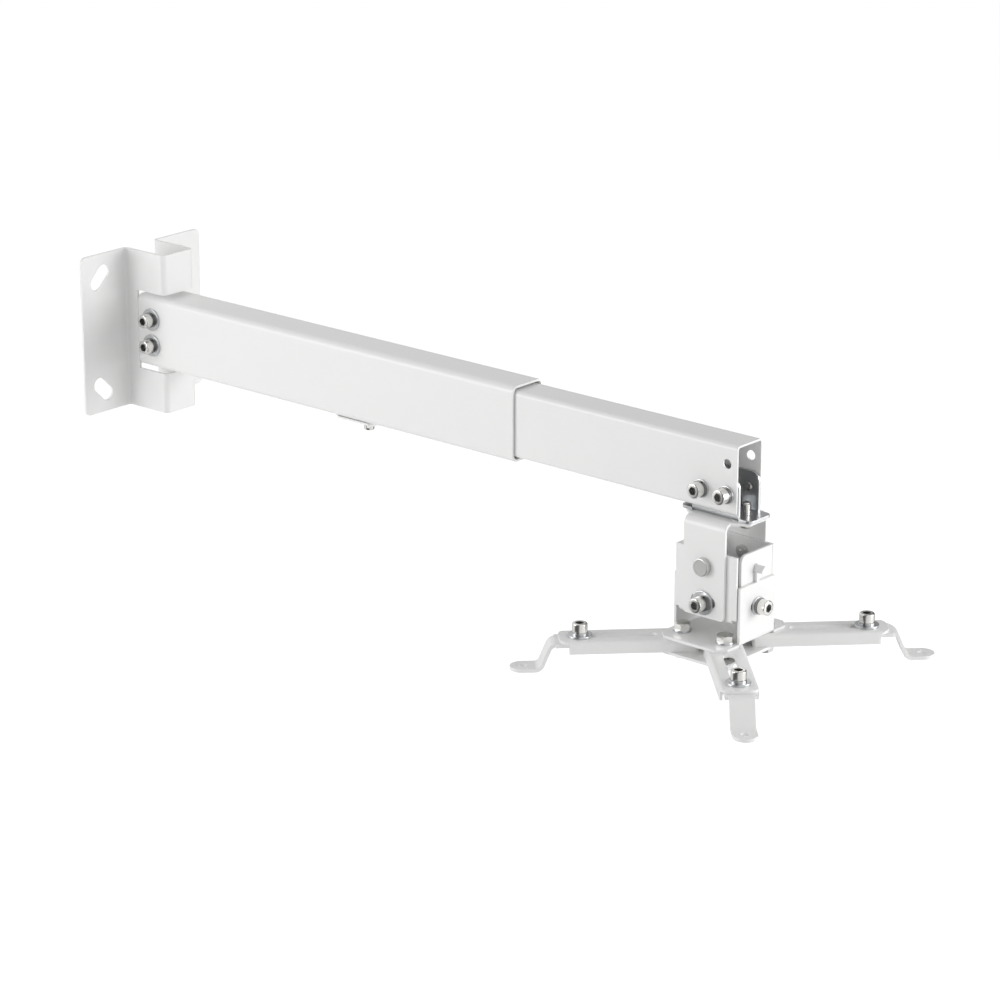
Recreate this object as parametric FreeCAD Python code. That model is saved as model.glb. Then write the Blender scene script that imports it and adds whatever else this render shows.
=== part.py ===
import FreeCAD, Part
import math
import os

# Telescopic projector mount for a wall or a ceiling, in millimetres.
# The origin is the centre of the wall plate's back face, +X runs out along the arm,
# +Z is up and Y runs across. Every steel part is folded sheet, tube or a standard fastener.

V = FreeCAD.Vector

# Wall bracket, one folded sheet: two flanges, two webs and a front
bracket_height = 116.0
bracket_width = 116.0
bracket_depth = 40.0
bracket_sheet = 2.0
bracket_bend = 2.0
flange_corner = 4.5
notch_start = 12.8
notch_gap = 2.8
wall_slot_width = 10.5
wall_slot_travel = 10.0
wall_slot_y = 40.5
wall_slot_z = 41.0
tongue_clearance = 0.2
tongue_edge_gap = 2.0
tongue_length = 29.0
joggle_length = 5.0
tube_seam = 0.2

# Outer tube, fixed to the bracket
outer_height = 52.0
outer_width = 30.0
outer_wall = 1.6
outer_corner = 4.5
outer_end = 365.0
wall_bolt_out = 13.7
wall_bolt_spread = 19.0

# Inner tube, slides in the outer one
tube_clearance = 1.5
tube_side_clearance = 0.4
inner_wall = 1.5
inner_corner = 3.0
inner_end = 548.0
inner_length = 386.0

# Bolt holes at the end of the inner tube, in an L
hole_spacing = 20.0
hole_end_distance = 8.0

# Extension lock under the outer tube
lock_plate_width = 16.0
lock_plate_sheet = 1.5
lock_plate_gap = 2.4
lock_plate_lip = 2.4
lock_plate_foot = 8.0
lock_plate_ramp = 3.0
lock_plate_length = 38.0
lock_collar_radius = 3.9
lock_collar_height = 2.0
lock_rivet_from_end = 170.5
lock_rivet_radius = 2.0
lock_rivet_head = 3.5
lock_rivet_head_height = 1.4
lock_screw_spacing = 28.0
lock_screw_radius = 2.5
lock_screw_head = 3.6
lock_screw_head_height = 3.4
lock_screw_clearance = 0.1

# Yoke inside the end of the inner tube
yoke_sheet = 2.0
yoke_bend = 1.0
yoke_clearance = 0.2
yoke_ear_length = 37.0
yoke_ear_top = 10.5
yoke_ear_corner = 6.0
yoke_base_length = 56.0
yoke_base_drop = 16.9
yoke_base_corner = 4.0
yoke_screw_tail = 7.5

# Swivel between the yoke and the pan bracket
swivel_radius = 4.0
swivel_running_gap = 0.05
swivel_head_radius = 6.5
swivel_head_height = 5.0
swivel_nut_flats = 13.0
swivel_nut_height = 6.3
swivel_lock_radius = 16.0
swivel_half_angle = 30.0
swivel_lock_tail = 8.0

# Pan bracket, an upside-down U
pan_sheet = 2.0
pan_bend = 3.5
pan_width = 44.0
pan_side_length = 33.0
pan_top_length = 52.0
pan_top_land = 16.0
pan_height = 64.6
pan_corner = 3.0

# Pitch joint between the pan bracket and the tilt box
pitch_drop = 30.6
pitch_lock_radius = 24.3
pitch_half_angle = 15.0
pivot_radius = 4.0
pivot_running_gap = 0.05
pivot_head_radius = 5.9
pivot_head_height = 4.0
pivot_tail_radius = 4.5
pivot_tail_height = 2.0

# Tilt box, four walls folded up from one floor; each end wall meets a side wall at one corner
box_sheet = 2.0
box_bend = 1.0
box_side_gap = 0.3
box_length = 48.4
box_end_wall_width = 29.0
box_top_above_pivot = 9.9
box_bottom_below_pivot = 35.0
box_corner = 5.0
box_seam = 0.2

# Roll joint between the tilt box and the base bracket
roll_drop_from_pitch = 1.5
roll_lock_radius = 24.4
roll_half_angle = 8.0
hook_arm_height = 5.0
hook_arm_sheet = 2.0
hook_arm_out = 4.5
hook_arm_in = 5.0
hook_twist = 45.0
hook_neck_width = 2.6
hook_slot_width = 3.2
hook_slot_clearance = 0.25

# Base bracket and the clamp plate under the legs
base_sheet = 2.0
base_bend = 1.5
base_end_gap = 0.3
base_wall_width = 36.0
base_wall_top_below_roll = 8.7
base_bottom_below_roll = 48.0
base_plate_width = 72.0
base_plate_chamfer = 6.0
leg_pivot_x = 17.2
leg_pivot_y = 21.0

# Legs, folded channels with a long slot
leg_sheet = 2.0
leg_bend = 1.0
leg_width = 25.0
leg_height = 8.2
leg_length = 79.0
leg_end_behind = 10.0
leg_end_corner = 3.0
leg_tip_overhang = 6.0
leg_tip_corner = 8.0
leg_slot_width = 7.0
leg_slot_start = 19.5
leg_slot_end = 68.0
leg_angles = (225.0, 315.0, 45.0, 135.0)
leg_pivot_gap = 0.05

# Feet, strips with two bends
foot_sheet = 2.5
foot_bend = 4.0
foot_side_gap = 0.2
foot_strip_width = 16.0
foot_screw_rest = 65.5
foot_head_behind = 10.5
foot_shoulder = 16.0
foot_upper_corner = 18.5
foot_lower_corner = 25.5
foot_drop = 17.0
foot_hole_from_screw = 36.7
foot_hole_radius = 3.0

# M6 fasteners, used in every screwed joint
m6_radius = 3.0
m6_hole = 3.2
m6_slot_width = 6.6
screw_head_radius = 5.0
screw_head_height = 6.0
screw_head_chamfer = 0.5
socket_flats = 5.0
socket_depth = 3.0
hex_head_flats = 10.0
hex_head_height = 4.2
nut_height = 5.0
washer_bore = 3.2
washer_sheet = 1.5
wide_washer_radius = 8.0
small_washer_radius = 6.0
spring_washer_radius = 5.4
spring_washer_sheet = 1.5
spring_washer_split = 1.0
screw_tail = 1.0
button_head_radius = 5.25
button_head_height = 3.3
button_head_round = 2.2
button_flats = 4.0
button_depth = 1.8

# Sizes that follow from the ones above
tube_start = notch_start + tube_seam
inner_height = outer_height - 2 * (outer_wall + tube_clearance)
inner_width = outer_width - 2 * (outer_wall + tube_side_clearance)
tongue_face = outer_width / 2 - outer_wall - tongue_clearance
tongue_height = outer_height - 2 * (outer_wall + tongue_edge_gap)
wall_bolt_x = notch_start + wall_bolt_out
hole_x = inner_end - hole_end_distance
head_x = hole_x - hole_spacing / 2
hole_z = hole_spacing / 2
lock_rivet_x = outer_end - lock_rivet_from_end
lock_screw_x = lock_rivet_x + lock_screw_spacing
yoke_face = inner_width / 2 - inner_wall - yoke_clearance
yoke_base_top = -hole_z - yoke_base_drop + yoke_sheet
pan_top = yoke_base_top - yoke_sheet
pan_face = pan_width / 2
pitch_z = pan_top - pitch_drop
box_face = pan_face - pan_sheet - box_side_gap
box_end = box_length / 2
box_top = pitch_z + box_top_above_pivot
box_bottom = pitch_z - box_bottom_below_pivot
roll_z = pitch_z - roll_drop_from_pitch
base_end = box_end + base_end_gap + base_sheet
base_bottom = roll_z - base_bottom_below_roll
base_floor = base_bottom + base_sheet
base_wall_top = roll_z - base_wall_top_below_roll
leg_top = base_bottom
leg_bottom = leg_top - leg_height
foot_top = leg_top - leg_sheet
foot_width = leg_width - 2 * leg_sheet - 2 * foot_side_gap


def box(x0, x1, y0, y1, z0, z1):
    return Part.makeBox(x1 - x0, y1 - y0, z1 - z0, V(x0, y0, z0))


def rod(radius, start, end):
    way = end - start
    return Part.makeCylinder(radius, way.Length, start, way)


def across_y(radius, x, z, reach):
    return rod(radius, V(x, -reach, z), V(x, reach, z))


def across_x(radius, y, z, reach):
    return rod(radius, V(head_x - reach, y, z), V(head_x + reach, y, z))


def prism(corners, bottom, top):
    """A flat plate with straight edges."""
    loop = [V(x, y, bottom) for x, y in corners]
    return Part.Face(Part.makePolygon(loop + loop[:1])).extrude(V(0, 0, top - bottom))


def slot(start, end, width, bottom, top):
    """A hole with round ends, from one centre to the other, along Z."""
    way = end - start
    side = V(-way.y, way.x, 0).normalize() * (width / 2)
    corners = [start + side, start - side, end - side, end + side]
    middle = prism([(c.x, c.y) for c in corners], bottom, top)
    lift = V(0, 0, top - bottom)
    for centre in (start, end):
        foot = V(centre.x, centre.y, bottom)
        middle = middle.fuse(rod(width / 2, foot, foot + lift))
    return middle.removeSplitter()


def arc_slot(radius, half_angle, width, bottom, top):
    """A curved slot about the Z axis, in the middle of the +X side."""
    half = math.radians(half_angle)
    inner, outer = radius - width / 2, radius + width / 2
    lift = V(0, 0, top - bottom)
    ring = Part.makeCylinder(outer, top - bottom, V(0, 0, bottom), V(0, 0, 1), 2 * half_angle)
    ring.rotate(V(0, 0, 0), V(0, 0, 1), -half_angle)
    solid = ring.cut(Part.makeCylinder(inner, top - bottom, V(0, 0, bottom)))
    for turn in (-half, half):
        centre = V(radius * math.cos(turn), radius * math.sin(turn), bottom)
        solid = solid.fuse(rod(width / 2, centre, centre + lift))
    return solid.removeSplitter()


def left_of(way):
    return V(-way.y, way.x, 0)


def sheet_side(points, offset, mid_radius):
    """One face of a folded sheet: the line through points, moved to its left, with round corners."""
    ways = [(b - a).normalize() for a, b in zip(points, points[1:])]
    at = points[0] + left_of(ways[0]) * offset
    edges = []
    for corner, a, b in zip(points[1:], ways, ways[1:]):
        turn = math.atan2(a.cross(b).z, a.dot(b))
        side = 1 if turn > 0 else -1
        radius = mid_radius - side * offset
        centre = corner - a * (mid_radius * math.tan(abs(turn) / 2)) + left_of(a) * (side * mid_radius)
        start = centre - left_of(a) * (side * radius)
        end = centre - left_of(b) * (side * radius)
        middle = centre - (left_of(a) + left_of(b)).normalize() * (side * radius)
        edges.append(Part.LineSegment(at, start).toShape())
        edges.append(Part.Arc(start, middle, end).toShape())
        at = end
    last = points[-1] + left_of(ways[-1]) * offset
    edges.append(Part.LineSegment(at, last).toShape())
    return edges


def folded(points, sheet, bend, width):
    """Sheet folded along the points, which run through the middle of its thickness."""
    points = [V(u, v, -width / 2) for u, v in points]
    left = sheet_side(points, sheet / 2, bend + sheet / 2)
    right = sheet_side(points, -sheet / 2, bend + sheet / 2)
    caps = []
    for i in (0, -1):
        ends = [side[i].Vertexes[i].Point for side in (left, right)]
        caps.append(Part.LineSegment(ends[0], ends[1]).toShape())
    wire = Part.Wire(Part.__sortEdges__(left + right + caps))
    return Part.Face(wire).extrude(V(0, 0, width))


def fold_along_x(solid):
    """Turns a profile drawn in X and Y so that it lies in Y and Z and runs along X."""
    turn = FreeCAD.Placement(V(0, 0, 0), FreeCAD.Rotation(V(0, 1, 0), V(0, 0, 1), V(1, 0, 0)))
    solid.Placement = turn.multiply(solid.Placement)
    return solid


def fold_along_y(solid):
    """Turns a profile drawn in X and Y so that it lies in X and Z and runs along Y."""
    turn = FreeCAD.Placement(V(0, 0, 0), FreeCAD.Rotation(V(1, 0, 0), V(0, 0, 1), V(0, -1, 0)))
    solid.Placement = turn.multiply(solid.Placement)
    return solid


def edges_along(solid, way, places):
    """The straight edges in one direction whose middle lies at one of the places."""
    found = []
    for edge in solid.Edges:
        if len(edge.Vertexes) != 2 or edge.Curve.TypeId != "Part::GeomLine":
            continue
        a, b = [v.Point for v in edge.Vertexes]
        if abs(abs((b - a).normalize().dot(way)) - 1) > 1e-6:
            continue
        middle = (a + b) * 0.5
        flat = middle - way * middle.dot(way)
        if any((flat - place).Length < 1e-3 for place in places):
            found.append(edge)
    return found


def seat(solid, point, out):
    """Puts a fastener drawn along +Z on its seat, with +Z turned outwards."""
    solid.Placement = FreeCAD.Placement(point, FreeCAD.Rotation(V(0, 0, 1), out))
    return solid


def hexagon(flats, bottom, top):
    corner = flats / math.sqrt(3)
    turns = [math.radians(60 * i) for i in range(6)]
    return prism([(corner * math.cos(t), corner * math.sin(t)) for t in turns], bottom, top)


def socket_screw(under_head):
    """Socket head cap screw, its head standing on the XY plane."""
    head = Part.makeCylinder(screw_head_radius, screw_head_height)
    rim = [e for e in head.Edges if e.Length > screw_head_radius and e.BoundBox.ZMin > screw_head_height - 0.1]
    head = head.makeChamfer(screw_head_chamfer, rim)
    head = head.cut(hexagon(socket_flats, screw_head_height - socket_depth, screw_head_height))
    return head.fuse(rod(m6_radius, V(0, 0, -under_head), V(0, 0, 0))).removeSplitter()


def button_screw(under_head):
    """Low screw with a domed head standing on the XY plane and a small hexagon socket."""
    head = Part.makeCylinder(button_head_radius, button_head_height)
    rim = [e for e in head.Edges if e.Length > button_head_radius and e.BoundBox.ZMin > button_head_height - 0.1]
    head = head.makeFillet(button_head_round, rim)
    head = head.cut(hexagon(button_flats, button_head_height - button_depth, button_head_height))
    return head.fuse(rod(m6_radius, V(0, 0, -under_head), V(0, 0, 0))).removeSplitter()


def hex_screw(under_head):
    """Hexagon head screw, its head standing on the XY plane."""
    head = hexagon(hex_head_flats, 0, hex_head_height)
    return head.fuse(rod(m6_radius, V(0, 0, -under_head), V(0, 0, 0))).removeSplitter()


def nut(flats, height, bore):
    return hexagon(flats, 0, height).cut(Part.makeCylinder(bore, height))


def washer(radius):
    disc = Part.makeCylinder(radius, washer_sheet)
    return disc.cut(Part.makeCylinder(washer_bore, washer_sheet))


def spring_washer():
    ring = Part.makeCylinder(spring_washer_radius, spring_washer_sheet)
    ring = ring.cut(Part.makeCylinder(washer_bore, spring_washer_sheet))
    half = spring_washer_split / 2
    return ring.cut(box(0, spring_washer_radius, -half, half, 0, spring_washer_sheet))


def screwed_joint(point, out, grip, washer_radius, beyond=nut_height + screw_tail):
    """Flat washer, spring washer, socket screw and nut; point is on the outer face.

    The grip is the sheets' thickness together, and the screw ends the length beyond past them."""
    under_spring = point + out * washer_sheet
    under_head = under_spring + out * spring_washer_sheet
    reach = washer_sheet + spring_washer_sheet + grip + beyond
    return {
        "washer": seat(washer(washer_radius), point, out),
        "spring": seat(spring_washer(), under_spring, out),
        "screw": seat(socket_screw(reach), under_head, out),
        "nut": seat(nut(hex_head_flats, nut_height, m6_radius), point - out * grip, out * -1),
    }


def gather(sets, kind):
    return Part.makeCompound([s[kind] for s in sets if kind in s])


# Wall bracket
def wall_bracket():
    mid = bracket_sheet / 2
    edge = bracket_width / 2
    web = outer_width / 2 - mid
    front = bracket_depth - mid
    hat = [(mid, -edge), (mid, -web), (front, -web), (front, web), (mid, web), (mid, edge)]
    solid = folded(hat, bracket_sheet, bracket_bend, bracket_height)
    opening = outer_height / 2 + notch_gap
    solid = solid.cut(box(notch_start, bracket_depth + 1, -outer_width, outer_width, -opening, opening))
    top = bracket_height / 2
    corners = [V(0, y, z) for y in (-edge, edge) for z in (-top, top)]
    solid = solid.makeFillet(flange_corner, edges_along(solid, V(1, 0, 0), corners))
    for side in (-1, 1):
        solid = solid.fuse(tongue(side))
    solid = solid.removeSplitter()
    for side in (-1, 1):
        for level in (-1, 1):
            solid = solid.cut(wall_slot(side, level))
    for z in (-wall_bolt_spread / 2, wall_bolt_spread / 2):
        solid = solid.cut(across_y(m6_hole, wall_bolt_x, z, outer_width))
    return solid


def tongue(side):
    """The middle band of a web, set in by the tube's wall so that it lies inside the tube."""
    web = outer_width / 2 - bracket_sheet / 2
    line = tongue_face - bracket_sheet / 2
    start = notch_start - joggle_length
    points = [(start - bracket_sheet, web), (start, web), (notch_start - tube_seam, line)]
    points.append((notch_start + tongue_length, line))
    points = [(x, side * y) for x, y in points]
    return folded(points, bracket_sheet, tongue_clearance, tongue_height)


def wall_slot(side, level):
    """A slot across the line from the plate's centre, which lets the bracket be turned level."""
    reach = wall_slot_travel / 2 / math.sqrt(2)
    a = V(side * wall_slot_y - reach, level * wall_slot_z + side * level * reach, 0)
    b = V(side * wall_slot_y + reach, level * wall_slot_z - side * level * reach, 0)
    return fold_along_x(slot(a, b, wall_slot_width, -bracket_sheet, 2 * bracket_sheet))


def wall_joints():
    grip = outer_wall + tongue_clearance + bracket_sheet
    sets = []
    for side in (-1, 1):
        for z in (-wall_bolt_spread / 2, wall_bolt_spread / 2):
            point = V(wall_bolt_x, side * outer_width / 2, z)
            sets.append(screwed_joint(point, V(0, side, 0), grip, wide_washer_radius))
    return sets


# Telescopic arm
def tube(start, end, height, width, wall, corner):
    solid = box(start, end, -width / 2, width / 2, -height / 2, height / 2)
    solid = solid.makeFillet(corner, long_edges(solid))
    w, h = width / 2 - wall, height / 2 - wall
    hollow = box(start, end, -w, w, -h, h)
    return solid.cut(hollow.makeFillet(corner - wall, long_edges(hollow)))


def long_edges(solid):
    return [e for e in solid.Edges if e.BoundBox.XLength > e.BoundBox.YLength + e.BoundBox.ZLength]


def outer_tube():
    solid = tube(tube_start, outer_end, outer_height, outer_width, outer_wall, outer_corner)
    for z in (-wall_bolt_spread / 2, wall_bolt_spread / 2):
        solid = solid.cut(across_y(m6_hole, wall_bolt_x, z, outer_width))
    floor = -outer_height / 2
    for x, radius in ((lock_rivet_x, lock_rivet_radius), (lock_screw_x, lock_screw_radius)):
        solid = solid.cut(rod(radius, V(x, 0, floor - 1), V(x, 0, floor + outer_wall + 1)))
    return solid


def inner_tube():
    start = inner_end - inner_length
    solid = tube(start, inner_end, inner_height, inner_width, inner_wall, inner_corner)
    for x, z in ((hole_x, -hole_z), (hole_x - hole_spacing, -hole_z), (hole_x, hole_z)):
        solid = solid.cut(across_y(m6_hole, x, z, inner_width))
    back = head_x - yoke_base_length / 2 - yoke_clearance
    side = yoke_face + yoke_clearance
    floor = -inner_height / 2
    return solid.cut(box(back, inner_end, -side, side, floor - 1, floor + inner_corner))


# Extension lock, a plate riveted at one end with a drawn and tapped collar at the other
def lock_plate():
    under = -outer_height / 2
    near = under - lock_plate_sheet / 2
    low = near - lock_plate_gap
    back = lock_rivet_x - lock_plate_foot / 2
    ramp = lock_rivet_x + lock_plate_foot / 2
    front = back + lock_plate_length
    points = [(back, near), (ramp, near), (ramp + lock_plate_ramp, low), (front, low)]
    points.append((front, low - lock_plate_lip))
    solid = fold_along_y(folded(points, lock_plate_sheet, lock_plate_sheet / 2, lock_plate_width))
    collar_end = low - lock_plate_sheet / 2 - lock_collar_height
    solid = solid.fuse(rod(lock_collar_radius, V(lock_screw_x, 0, collar_end), V(lock_screw_x, 0, low)))
    for x, radius in ((lock_rivet_x, lock_rivet_radius), (lock_screw_x, lock_screw_radius)):
        solid = solid.cut(rod(radius, V(x, 0, collar_end - 1), V(x, 0, under + 1)))
    return solid.removeSplitter()


def lock_rivet():
    under = -outer_height / 2 - lock_plate_sheet
    head = rod(lock_rivet_head, V(lock_rivet_x, 0, under - lock_rivet_head_height), V(lock_rivet_x, 0, under))
    shank = rod(lock_rivet_radius, V(lock_rivet_x, 0, under), V(lock_rivet_x, 0, -outer_height / 2 + outer_wall))
    return head.fuse(shank).removeSplitter()


def lock_screw():
    under = -outer_height / 2 - lock_plate_gap - lock_plate_sheet - lock_collar_height
    tip = -inner_height / 2 - lock_screw_clearance
    bottom = under - lock_screw_head_height
    head = rod(lock_screw_head, V(lock_screw_x, 0, bottom), V(lock_screw_x, 0, under))
    key = hexagon(lock_screw_head, bottom, bottom + lock_screw_head_height / 2)
    key.translate(V(lock_screw_x, 0, 0))
    shank = rod(lock_screw_radius, V(lock_screw_x, 0, under), V(lock_screw_x, 0, tip))
    return head.cut(key).fuse(shank).removeSplitter()


# Yoke in the end of the inner tube
def tube_yoke():
    ear = yoke_face - yoke_sheet / 2
    base = yoke_base_top - yoke_sheet / 2
    top = -hole_z + yoke_ear_top
    solid = fold_along_x(folded([(-ear, top), (-ear, base), (ear, base), (ear, top)],
                                yoke_sheet, yoke_bend, yoke_ear_length))
    half = yoke_ear_length / 2
    corners = [V(x, 0, top) for x in (-half, half)]
    solid = solid.makeFillet(yoke_ear_corner, edges_along(solid, V(0, 1, 0), corners))
    reach = yoke_base_length / 2
    plate = box(-reach, reach, -yoke_face, yoke_face, yoke_base_top - yoke_sheet, yoke_base_top)
    upright = [V(x, y, 0) for x in (-reach, reach) for y in (-yoke_face, yoke_face)]
    plate = plate.makeFillet(yoke_base_corner, edges_along(plate, V(0, 0, 1), upright))
    plate = plate.cut(box(-half, half, -yoke_face, yoke_face, yoke_base_top - yoke_sheet, yoke_base_top))
    solid = solid.fuse(plate).removeSplitter()
    solid.translate(V(head_x, 0, 0))
    for x in (hole_x, hole_x - hole_spacing):
        solid = solid.cut(across_y(m6_radius, x, -hole_z, inner_width))
    solid = solid.cut(rod(swivel_radius, V(head_x, 0, pan_top - 1), V(head_x, 0, yoke_base_top + 1)))
    lock_x = head_x + swivel_lock_radius
    return solid.cut(rod(m6_radius, V(lock_x, 0, pan_top - 1), V(lock_x, 0, yoke_base_top + 1)))


def yoke_joints():
    """The yoke's ears are tapped, so these screws have no nuts; the two behind are low and end in the ear."""
    grip = inner_wall + yoke_clearance + yoke_sheet
    near = V(0, -1, 0)
    far = V(0, 1, 0)
    sets = []
    for x in (hole_x, hole_x - hole_spacing):
        point = V(x, -inner_width / 2, -hole_z)
        sets.append(screwed_joint(point, near, grip, small_washer_radius, yoke_screw_tail))
        point = V(x, inner_width / 2, -hole_z)
        low = seat(button_screw(washer_sheet + grip), point + far * washer_sheet, far)
        sets.append({"washer": seat(washer(small_washer_radius), point, far), "screw": low})
    return sets


# Swivel
def swivel_bolt():
    under = pan_top - pan_sheet
    top = yoke_base_top + swivel_nut_height + screw_tail
    head = rod(swivel_head_radius, V(head_x, 0, under - swivel_head_height), V(head_x, 0, under))
    return head.fuse(rod(swivel_radius, V(head_x, 0, under), V(head_x, 0, top))).removeSplitter()


def swivel_nut():
    return seat(nut(swivel_nut_flats, swivel_nut_height, swivel_radius), V(head_x, 0, yoke_base_top), V(0, 0, 1))


def swivel_lock():
    """Lock screw and its washer under the pan bracket, screwed up into the yoke's tapped hole."""
    point = V(head_x + swivel_lock_radius, 0, pan_top - pan_sheet)
    down = V(0, 0, -1)
    reach = washer_sheet + pan_sheet + yoke_sheet + swivel_lock_tail
    return seat(button_screw(reach), point + down * washer_sheet, down), seat(washer(small_washer_radius), point, down)


# Pan bracket
def pan_bracket():
    side = pan_face - pan_sheet / 2
    top = pan_top - pan_sheet / 2
    bottom = pan_top - pan_height
    solid = fold_along_x(folded([(-side, bottom), (-side, top), (side, top), (side, bottom)],
                                pan_sheet, pan_bend, pan_side_length))
    half = pan_side_length / 2
    corners = [V(x, 0, bottom) for x in (-half, half)]
    solid = solid.makeFillet(pan_corner, edges_along(solid, V(0, 1, 0), corners))
    reach = pan_top_length / 2
    land = pan_top_land / 2
    edge = pan_face - pan_bend - pan_sheet
    outline = [(-reach, -land), (-half, -edge), (half, -edge), (reach, -land)]
    outline += [(reach, land), (half, edge), (-half, edge), (-reach, land)]
    plate = prism(outline, pan_top - pan_sheet, pan_top)
    plate = plate.cut(box(-half, half, -edge, edge, pan_top - pan_sheet, pan_top))
    solid = solid.fuse(plate).removeSplitter()
    solid = solid.cut(rod(swivel_radius + swivel_running_gap, V(0, 0, pan_top - 3 * pan_sheet), V(0, 0, pan_top + 1)))
    solid = solid.cut(arc_slot(swivel_lock_radius, swivel_half_angle, m6_slot_width, pan_top - 3 * pan_sheet, pan_top + 1))
    solid.translate(V(head_x, 0, 0))
    solid = solid.cut(across_y(pivot_radius + pivot_running_gap, head_x, pitch_z, pan_width))
    lock = arc_slot(pitch_lock_radius, pitch_half_angle, m6_slot_width, -pan_width, pan_width)
    lock.rotate(V(0, 0, 0), V(0, 0, 1), -90)
    lock = fold_along_y(lock)
    lock.translate(V(head_x, 0, pitch_z))
    return solid.cut(lock)


# Pitch joint
def pitch_pivots():
    pivots = []
    for side in (-1, 1):
        face = side * pan_face
        inner = side * (box_face - box_sheet)
        head = rod(pivot_head_radius, V(head_x, face + side * pivot_head_height, pitch_z), V(head_x, face, pitch_z))
        shank = rod(pivot_radius, V(head_x, face, pitch_z), V(head_x, inner, pitch_z))
        tail = rod(pivot_tail_radius, V(head_x, inner, pitch_z), V(head_x, inner - side * pivot_tail_height, pitch_z))
        pivots.append(head.fuse(shank).fuse(tail).removeSplitter())
    return Part.makeCompound(pivots)


def pitch_joints():
    grip = pan_sheet + box_side_gap + box_sheet
    level = pitch_z - pitch_lock_radius
    points = [(side, V(head_x, side * pan_face, level)) for side in (-1, 1)]
    return [screwed_joint(p, V(0, side, 0), grip, wide_washer_radius) for side, p in points]


# Tilt box
def tilt_box():
    mid = box_sheet / 2
    side = box_face - mid
    end = box_end - mid
    floor = box_bottom + mid
    length = fold_along_x(folded([(-side, box_top), (-side, floor), (side, floor), (side, box_top)],
                                 box_sheet, box_bend, box_length))
    ends = fold_along_y(folded([(-end, box_top), (-end, floor), (end, floor), (end, box_top)],
                               box_sheet, box_bend, box_end_wall_width))
    half = box_end_wall_width / 2
    corners = [V(0, y, box_top) for y in (-half, half)]
    ends = ends.makeFillet(box_corner, edges_along(ends, V(1, 0, 0), corners))
    bend_top = box_bottom + box_sheet + box_bend
    seam = box_face - box_sheet - box_seam
    for turn in (0, 180):
        tab = box(box_end - box_sheet, box_end, half - box_corner, seam, bend_top, box_top)
        tab.rotate(V(0, 0, 0), V(0, 0, 1), turn)
        ends = ends.fuse(tab)
    relief = box_end - box_sheet - box_bend
    for x in (-1, 1):
        cut = box(relief, box_end, -box_face, box_face, box_bottom, bend_top)
        length = length.cut(cut if x > 0 else cut.mirror(V(0, 0, 0), V(1, 0, 0)))
    solid = length.fuse(ends).removeSplitter()
    solid.translate(V(head_x, 0, 0))
    solid = solid.cut(across_y(pivot_radius, head_x, pitch_z, pan_width))
    solid = solid.cut(across_y(m6_hole, head_x, pitch_z - pitch_lock_radius, pan_width))
    solid = solid.cut(across_x(m6_hole, 0, roll_z - roll_lock_radius, box_length))
    width = hook_slot_width / 2
    height = hook_arm_height / 2 + hook_slot_clearance
    return solid.cut(box(head_x - box_length, head_x + box_length, -width, width, roll_z - height, roll_z + height))


def roll_joints():
    grip = base_sheet + base_end_gap + box_sheet
    level = roll_z - roll_lock_radius
    points = [(side, V(head_x + side * base_end, 0, level)) for side in (-1, 1)]
    return [screwed_joint(p, V(side, 0, 0), grip, small_washer_radius) for side, p in points]


# Base bracket and clamp plate
def base_outline(bottom, top):
    x, y, c = base_end, base_plate_width / 2, base_plate_chamfer
    corners = [(-x, -y + c), (-x + c, -y), (x - c, -y), (x, -y + c)]
    corners += [(x, y - c), (x - c, y), (-x + c, y), (-x, y - c)]
    return prism(corners, bottom, top)


def leg_pivots():
    places = ((-1, -1), (1, -1), (1, 1), (-1, 1))
    return [V(head_x + x * leg_pivot_x, y * leg_pivot_y, 0) for x, y in places]


def base_bracket():
    mid = base_sheet / 2
    end = base_end - mid
    floor = base_bottom + mid
    solid = fold_along_y(folded([(-end, base_wall_top), (-end, floor), (end, floor), (end, base_wall_top)],
                                base_sheet, base_bend, base_wall_width))
    half = base_wall_width / 2
    plate = base_outline(base_bottom, base_floor)
    plate = plate.cut(box(-base_end, base_end, -half, half, base_bottom, base_floor))
    solid = solid.fuse(plate)
    for side in (-1, 1):
        solid = solid.fuse(hook(side))
    solid = solid.removeSplitter()
    lock = arc_slot(roll_lock_radius, roll_half_angle, m6_slot_width, -2 * base_end, 2 * base_end)
    lock.rotate(V(0, 0, 0), V(0, 0, 1), -90)
    lock = fold_along_x(lock)
    lock.translate(V(0, 0, roll_z))
    solid = solid.cut(lock)
    solid.translate(V(head_x, 0, 0))
    return drilled(solid, base_bottom, base_floor, m6_radius)


def hook(side):
    """A neck on top of the end wall with an arm that hangs in the tilt box's slot.

    Outside the slot the arm is twisted, so that it cannot come out."""
    face = base_end - base_sheet
    arm = hook_arm_height / 2
    sheet = hook_arm_sheet / 2
    width = hook_neck_width / 2
    neck = box(face, base_end, -width, width, base_wall_top, roll_z)
    straight = box(face - hook_arm_in, face, -sheet, sheet, roll_z - arm, roll_z + arm)
    twisted = box(face, base_end + hook_arm_out, -sheet, sheet, roll_z - arm, roll_z + arm)
    twisted.rotate(V(0, 0, roll_z), V(1, 0, 0), -side * hook_twist)
    whole = neck.fuse(straight).fuse(twisted)
    return whole if side > 0 else whole.mirror(V(0, 0, 0), V(1, 0, 0))


def drilled(solid, bottom, top, radius):
    for place in leg_pivots():
        solid = solid.cut(rod(radius, place + V(0, 0, bottom - 1), place + V(0, 0, top + 1)))
    return solid


def clamp_plate():
    solid = base_outline(leg_bottom - base_sheet, leg_bottom)
    solid.translate(V(head_x, 0, 0))
    return drilled(solid, leg_bottom - base_sheet, leg_bottom, m6_radius)


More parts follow.
